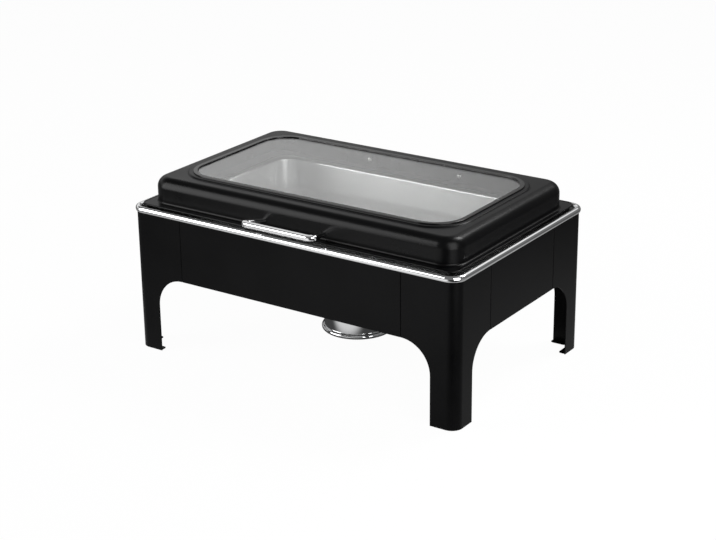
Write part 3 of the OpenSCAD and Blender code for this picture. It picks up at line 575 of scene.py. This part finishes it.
def plate_grid(low, high, radius, soft=0.4):
    """A flat plate between two corners: a rounded rectangle with its edges softened top and bottom."""
    low, high = np.array(low, float), np.array(high, float)
    half = (high - low) / 2
    outline = (half[0], half[1], min(radius, half[0] * 0.98, half[1] * 0.98))
    lift = min(soft, half[2] * 0.9, outline[2] * 0.9)
    profile = [(-lift, low[2]), (0, low[2] + lift), (0, high[2] - lift), (-lift, high[2])]
    stations = np.concatenate([middle_line(outline, low[2]), stations_on(outline, profile),
                               middle_line(outline, high[2])])
    grid = ring_grid(stations, 6)
    grid[..., :2] += (low[:2] + high[:2]) / 2
    return grid


# %% Legs


def leg_sheet():
    """Wing end at x = 95 - 50 cos b where z = 79 + 50 sin b on the arch; the corner is an arc of 18."""
    climb = np.radians(np.linspace(0, 90, 25))
    height = np.concatenate([[0, 0.4, 40], 79 + 50 * np.sin(climb), [130.0, 180, 229.6, 230]])
    end = np.concatenate([[45, 45, 45], 95 - 50 * np.cos(climb), [95, 95, 95, 95]])[:, None]
    soft = np.where(height < 129.5, 0.4, SHEET)[:, None]
    turn = np.radians(np.linspace(90, 0, 6))
    run, dip = end - soft * (1 - np.sin(turn)), soft * (1 - np.cos(turn))
    corner = arc_points((18, 18), 18.0, 270, 180, 19)
    inside = arc_points((18, 18), 18.0 - SHEET, 270, 180, 19)
    ones = np.ones_like(end)
    outer_x = np.concatenate([run, ones * corner[:, 0], dip[:, ::-1]], axis=1)
    outer_y = np.concatenate([dip, ones * corner[:, 1], run[:, ::-1]], axis=1)
    inner_x = np.concatenate([run, ones * inside[:, 0], np.full_like(dip, SHEET)], axis=1)
    inner_y = np.concatenate([np.full_like(dip, SHEET), ones * inside[:, 1], run[:, ::-1]], axis=1)
    return closed_sheet(np.stack([outer_x, outer_y], -1), np.stack([inner_x, inner_y], -1), height)


def leg_plates():
    """The turned lips under both foot faces and the turned flanges behind both seams."""
    along_x = [plate_grid((18, 0.2, 0), (44, 13, 1.5), 4), plate_grid((93.5, 1.2, 129.2), (95, 16, 230), 0.3)]
    along_y = [grid[..., [1, 0, 2]] for grid in along_x]
    return along_x + along_y


for name, side_x, side_y in [("leg_front_left", -1, -1), ("leg_front_right", 1, -1),
                             ("leg_back_left", -1, 1), ("leg_back_right", 1, 1)]:
    grids = [(leg_sheet(), False, True)] + [(grid, True, False) for grid in leg_plates()]
    placed = []
    for grid, wrap_rows, wrap_columns in grids:
        plan = (STAND - grid[..., :2]) * (side_x, side_y)
        placed.append((np.concatenate([plan, grid[..., 2:]], axis=-1), wrap_rows, wrap_columns))
    make_piece(name + "_sheet", placed, stand_black, "stand", [name])

# %% Panels


def panel_channel(half):
    """A face with two turned flanges: the same section at each height, its ends rounded by a bend."""
    height = np.array([129, 129.3, 150, 200, 229.6, 230.0])
    left = np.concatenate([[(-half, 16)], arc_points((-half + SHEET, SHEET), SHEET, 180, 270, 7)])
    outer = np.concatenate([left, left[::-1] * (-1, 1)])
    tuck = np.concatenate([[(-half + SHEET, 16)], np.tile([[-half + SHEET, SHEET]], (7, 1))])
    inner = np.concatenate([tuck, tuck[::-1] * (-1, 1)])
    rows = np.ones((len(height), 1, 1))
    return closed_sheet(rows * outer, rows * inner, height)


for name, half, turn, out in [("panel_front", 205, 0, 191), ("panel_right", 96, 90, 300),
                              ("panel_back", 205, 180, 191), ("panel_left", 96, 270, 300)]:
    hem = plate_grid((-half + SHEET, 0.8, 129), (half - SHEET, 14, 130.5), 0.6)
    cosine, sine = np.cos(np.radians(turn)), np.sin(np.radians(turn))
    placed = []
    for grid, wrap_rows, wrap_columns in [(panel_channel(half), False, True), (hem, True, False)]:
        x, y, z = grid[..., 0], grid[..., 1] - out, grid[..., 2]
        placed.append((np.stack([x * cosine - y * sine, x * sine + y * cosine, z], -1), wrap_rows, wrap_columns))
    make_piece(name + "_sheet", placed, stand_black, "stand", [name])

# %% [markdown]
# ## Turned pieces
# The burner bowl, its knob, the bumpers and the damper on the hinge are turned or pressed round, so each
# is a profile spun about an axis. The knob also gets flutes: its radius has a small wave round the axis.

# %% Turned pieces


def turned(profile, count=72, flutes=0, depth=0.0):
    """Spin (radius, height) about the upright: (r cos a, r sin a, z), r eased by a wave of flutes."""
    radius, height = np.asarray(profile, float).T
    angle = np.linspace(0, 2 * np.pi, count, endpoint=False)[:, None]
    wave = 1 - depth * (0.5 - 0.5 * np.cos(flutes * angle))
    r = radius * wave
    return np.stack([r * np.cos(angle), r * np.sin(angle), np.broadcast_to(height, r.shape)], -1)


bowl_profile = np.concatenate([
    [(0, 33), (53, 33)],
    arc_points((55, 37), 4, -90, 78, 13),
    [(55.2, 41.6), (55, 42.4), (55, 87.2), (55.8, 88), (65.4, 88)],
    arc_points((65, 89), 1.0, -60, 90, 7),
    [(54.3, 90), (53.5, 89.2), (53.5, 36.5), (51.5, 34.5), (0, 34.5)],
])
make_piece("burner_pot", [(turned(bowl_profile, 96), True, False)], pot_chrome, "burner",
           ["burner_bowl"])

bumper_profile = np.concatenate([[(0, 235.3)], arc_points((3, 236.8), 1.5, -90, 0, 5), [(4.5, 242), (0, 242)]])
bumpers = [turned(bumper_profile, 32) + (x * 280.5, y * 171.5, 0) for x in (-1, 1) for y in (-1, 1)]
make_piece("bumper_pads", [(grid, True, False) for grid in bumpers], seal_rubber, "lid",
           ["lid_bumpers"])

knob_profile = np.concatenate([[(0, 93), (3.6, 93), (4, 93.6), (4, 101)], arc_points((2.2, 101.2), 1.8, 0, 90, 6),
                               [(0, 103)]])
rest = np.radians(-75)
knob_place = (42 - 42 * np.cos(rest), -42 * np.sin(rest), 0)
make_piece("damper_grip", [(turned(knob_profile, 96, 12, 0.07) + knob_place, True, False)], knob_plastic,
           "burner_damper", ["damper_knob"])

damper_profile = [(4.05, -75.5), (11, -75.5), (12, -74.5), (12, -66), (11.4, -65.4), (11.4, -63.6), (12, -63),
                  (12, 63), (11.4, 63.6), (11.4, 65.4), (12, 66), (12, 74.5), (11, 75.5), (4.05, 75.5)]
spun = turned(damper_profile, 64)
along_axis = np.stack([spun[..., 2], spun[..., 0] + 204, spun[..., 1] + 249.5], -1)
make_piece("hinge_damper", [(along_axis, True, True)], fitting_steel, "stand", ["damper_cylinder"])

# %% [markdown]
# ## Pieces that stay as they were packed
# Brackets, arms, screws, nuts, clips and the burner's small plates already have the right shape, so they
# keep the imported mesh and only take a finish.

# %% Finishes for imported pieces
kept = {
    fitting_steel: ["burner_bracket", "hinge_base", "hinge_arm_left", "hinge_arm_right", "damper_plate"],
    fastener_steel: ["seam_bolts", "seam_nuts", "bracket_screws", "bracket_nuts", "hinge_base_screws",
                     "hinge_base_nuts", "handle_screws", "arm_screws", "hinge_shaft", "shaft_clips",
                     "damper_rivet"],
    cup_steel: ["fuel_cup"],
    pot_chrome: ["burner_cover"],
}
for finish, names in kept.items():
    for name in names:
        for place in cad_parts[name].material_slots:
            place.material = finish
print("packed pieces finished:", sum(len(names) for names in kept.values()))

# %% [markdown]
# ## The floor
# The dish stands on plain white. To the camera the floor is almost pure white and keeps a faint shadow.
# What paint and metal mirror is the floor glowing white with painted shade on it: the glow is dimmed at
# the far left, on the right and behind, and painted shadow darkens it near the front of the dish, on a patch at
# the front right and under the dish. This painted shade gives the black paint its soft shading.

# %% Floor
bpy.context.scene.view_settings.view_transform = "Standard"
floor_mesh = bpy.data.meshes.new("floor")
floor_mesh.from_pydata([(-8, -8, -0.0004), (8, -8, -0.0004), (8, 8, -0.0004), (-8, 8, -0.0004)], [], [(0, 1, 2, 3)])
floor = bpy.data.objects.new("floor", floor_mesh)
bpy.context.scene.collection.objects.link(floor)

floor_finish, nodes, link, shader = new_finish("pale_floor")
shader.inputs["Base Color"].default_value = (0.9, 0.9, 0.9, 1)
shader.inputs["Roughness"].default_value = 0.9
shader.inputs["Specular IOR Level"].default_value = 0.0

path = nodes.new("ShaderNodeLightPath")
place = nodes.new("ShaderNodeTexCoord")
across = nodes.new("ShaderNodeSeparateXYZ")
link(place.outputs["Object"], across.inputs["Vector"])
mirrored = sum_of(nodes, link, [path.outputs["Is Glossy Ray"], path.outputs["Is Transmission Ray"]])


def paper_step(axis, near, far, low, high):
    """A smooth step across the floor, along X or Y in metres."""
    return fall_off(nodes, link, across.outputs[axis], near, far, low, high)


# painted shade: the mirrored glow of the floor is dimmed on the right, behind and at the far left
shaded_paper = times(nodes, link, paper_step("X", 0.0, 0.7, 1.0, 0.36), paper_step("Y", 0.3, 0.8, 1.0, 0.4))
shaded_paper = times(nodes, link, shaded_paper, paper_step("X", -0.75, -0.15, 0.3, 1.0))
# painted shade near the front of the dish
shaded_paper = times(nodes, link, shaded_paper, paper_step("Y", -0.62, -0.33, 1.0, 0.7))
# painted shade: a dark patch on the floor at the front right
painted_dark_patch = times(nodes, link, paper_step("X", 0.1, 0.5, 0.0, 1.0), paper_step("Y", -0.4, 0.0, 1.0, 0.0))
shaded_paper = times(nodes, link, shaded_paper, fall_off(nodes, link, painted_dark_patch, 0.0, 1.0, 1.0, 0.05))
# painted shadow on the floor under the dish
shade = times(nodes, link, paper_step("X", -0.32, -0.26, 0.0, 1.0), paper_step("X", 0.26, 0.32, 1.0, 0.0))
shade = times(nodes, link, shade, paper_step("Y", -0.2, -0.1, 0.0, 1.0))
shade = times(nodes, link, shade, paper_step("Y", 0.1, 0.2, 1.0, 0.0))
shaded_paper = times(nodes, link, shaded_paper, fall_off(nodes, link, shade, 0.0, 1.0, 1.0, 0.08))
white = nodes.new("ShaderNodeEmission")
white.inputs["Color"].default_value = (1, 1, 1, 1)
link(sum_of(nodes, link, [path.outputs["Is Camera Ray"], shaded_paper]), white.inputs["Strength"])
seen = sum_of(nodes, link, [times(nodes, link, path.outputs["Is Camera Ray"], 0.97), mirrored])
blend = nodes.new("ShaderNodeMixShader")
link(seen, blend.inputs["Fac"])
link(shader.outputs["BSDF"], blend.inputs[1])
link(white.outputs["Emission"], blend.inputs[2])
link(blend.outputs["Shader"], nodes["Material Output"].inputs["Surface"])
floor_mesh.materials.append(floor_finish)
print("floor", tuple(round(v, 1) for v in floor.dimensions))

# %% [markdown]
# ## The surroundings
# The camera sees white all round. Reflections see a soft white card low behind on the left, which lays the
# pale veil on the glass, a dimmer card higher up behind, and dark grey elsewhere, so that black paint stays
# black. Rays that leave through the glass see a partial white, which lifts the steel inside.

# %% World
world = bpy.data.worlds.new("studio")
bpy.context.scene.world = world
world.use_nodes = True
nodes, link = world.node_tree.nodes, world.node_tree.links.new
backdrop = nodes["Background"]
backdrop.inputs["Color"].default_value = (1, 1, 1, 1)
direction = nodes.new("ShaderNodeTexCoord")
split = nodes.new("ShaderNodeSeparateXYZ")
link(direction.outputs["Generated"], split.inputs["Vector"])
card = times(nodes, link, fall_off(nodes, link, split.outputs["Z"], 0.1, 0.27, 0.0, 1.0),
             fall_off(nodes, link, split.outputs["Z"], 0.36, 0.55, 1.0, 0.0))
card = times(nodes, link, card, fall_off(nodes, link, split.outputs["X"], -0.66, -0.3, 0.72, 0.02))
path = nodes.new("ShaderNodeLightPath")
direct = sum_of(nodes, link, [path.outputs["Is Camera Ray"], path.outputs["Is Glossy Ray"],
                              path.outputs["Is Transmission Ray"]])
upper = times(nodes, link, fall_off(nodes, link, split.outputs["Z"], 0.45, 0.55, 0.0, 0.8),
              fall_off(nodes, link, split.outputs["Z"], 0.66, 0.74, 1.0, 0.0))
upper = times(nodes, link, upper, fall_off(nodes, link, split.outputs["Y"], 0.5, 0.7, 0.0, 1.0))
card = sum_of(nodes, link, [card, upper])
glow = nodes.new("ShaderNodeMath")
glow.operation = "ADD"
glow.inputs[1].default_value = 0.16
link(card, glow.inputs[0])
sky = times(nodes, link, glow.outputs["Value"], fall_off(nodes, link, direct, 0.0, 1.0, 0.6, 1.0))
through = times(nodes, link, path.outputs["Is Transmission Ray"], 0.36)
link(sum_of(nodes, link, [path.outputs["Is Camera Ray"], through, sky]), backdrop.inputs["Strength"])
print("world nodes", len(nodes))

# %% [markdown]
# ## The lamps
# A large softbox in front on the left draws the long highlight on the lid's shoulder. A small strip on the
# right lights the near corner, and a softbox high behind on the right reaches the pan's left wall.

# %% Lamps


def soft_lamp(name, place, target, size, watts):
    """A rectangular lamp at `place`, facing `target`."""
    lamp = bpy.data.lights.new(name, "AREA")
    lamp.shape = "RECTANGLE"
    lamp.size, lamp.size_y = size
    lamp.energy = watts
    holder = bpy.data.objects.new(name, lamp)
    bpy.context.scene.collection.objects.link(holder)
    holder.visible_camera = False
    aim = Vector(target) - Vector(place)
    holder.matrix_world = Matrix.Translation(place) @ aim.to_track_quat("-Z", "Y").to_matrix().to_4x4()
    return holder


soft_lamp("front_left_softbox", (-1.9, -2.0, 1.2), (0, 0, 0.2), (1.8, 2.4), 64)
soft_lamp("right_strip", (0.95, -0.5, 0.5), (0.2, -0.1, 0.25), (0.6, 1.1), 8.0)
soft_lamp("back_right_softbox", (0.8, 1.17, 1.9), (-0.1, 0, 0.2), (0.8, 0.8), 32)
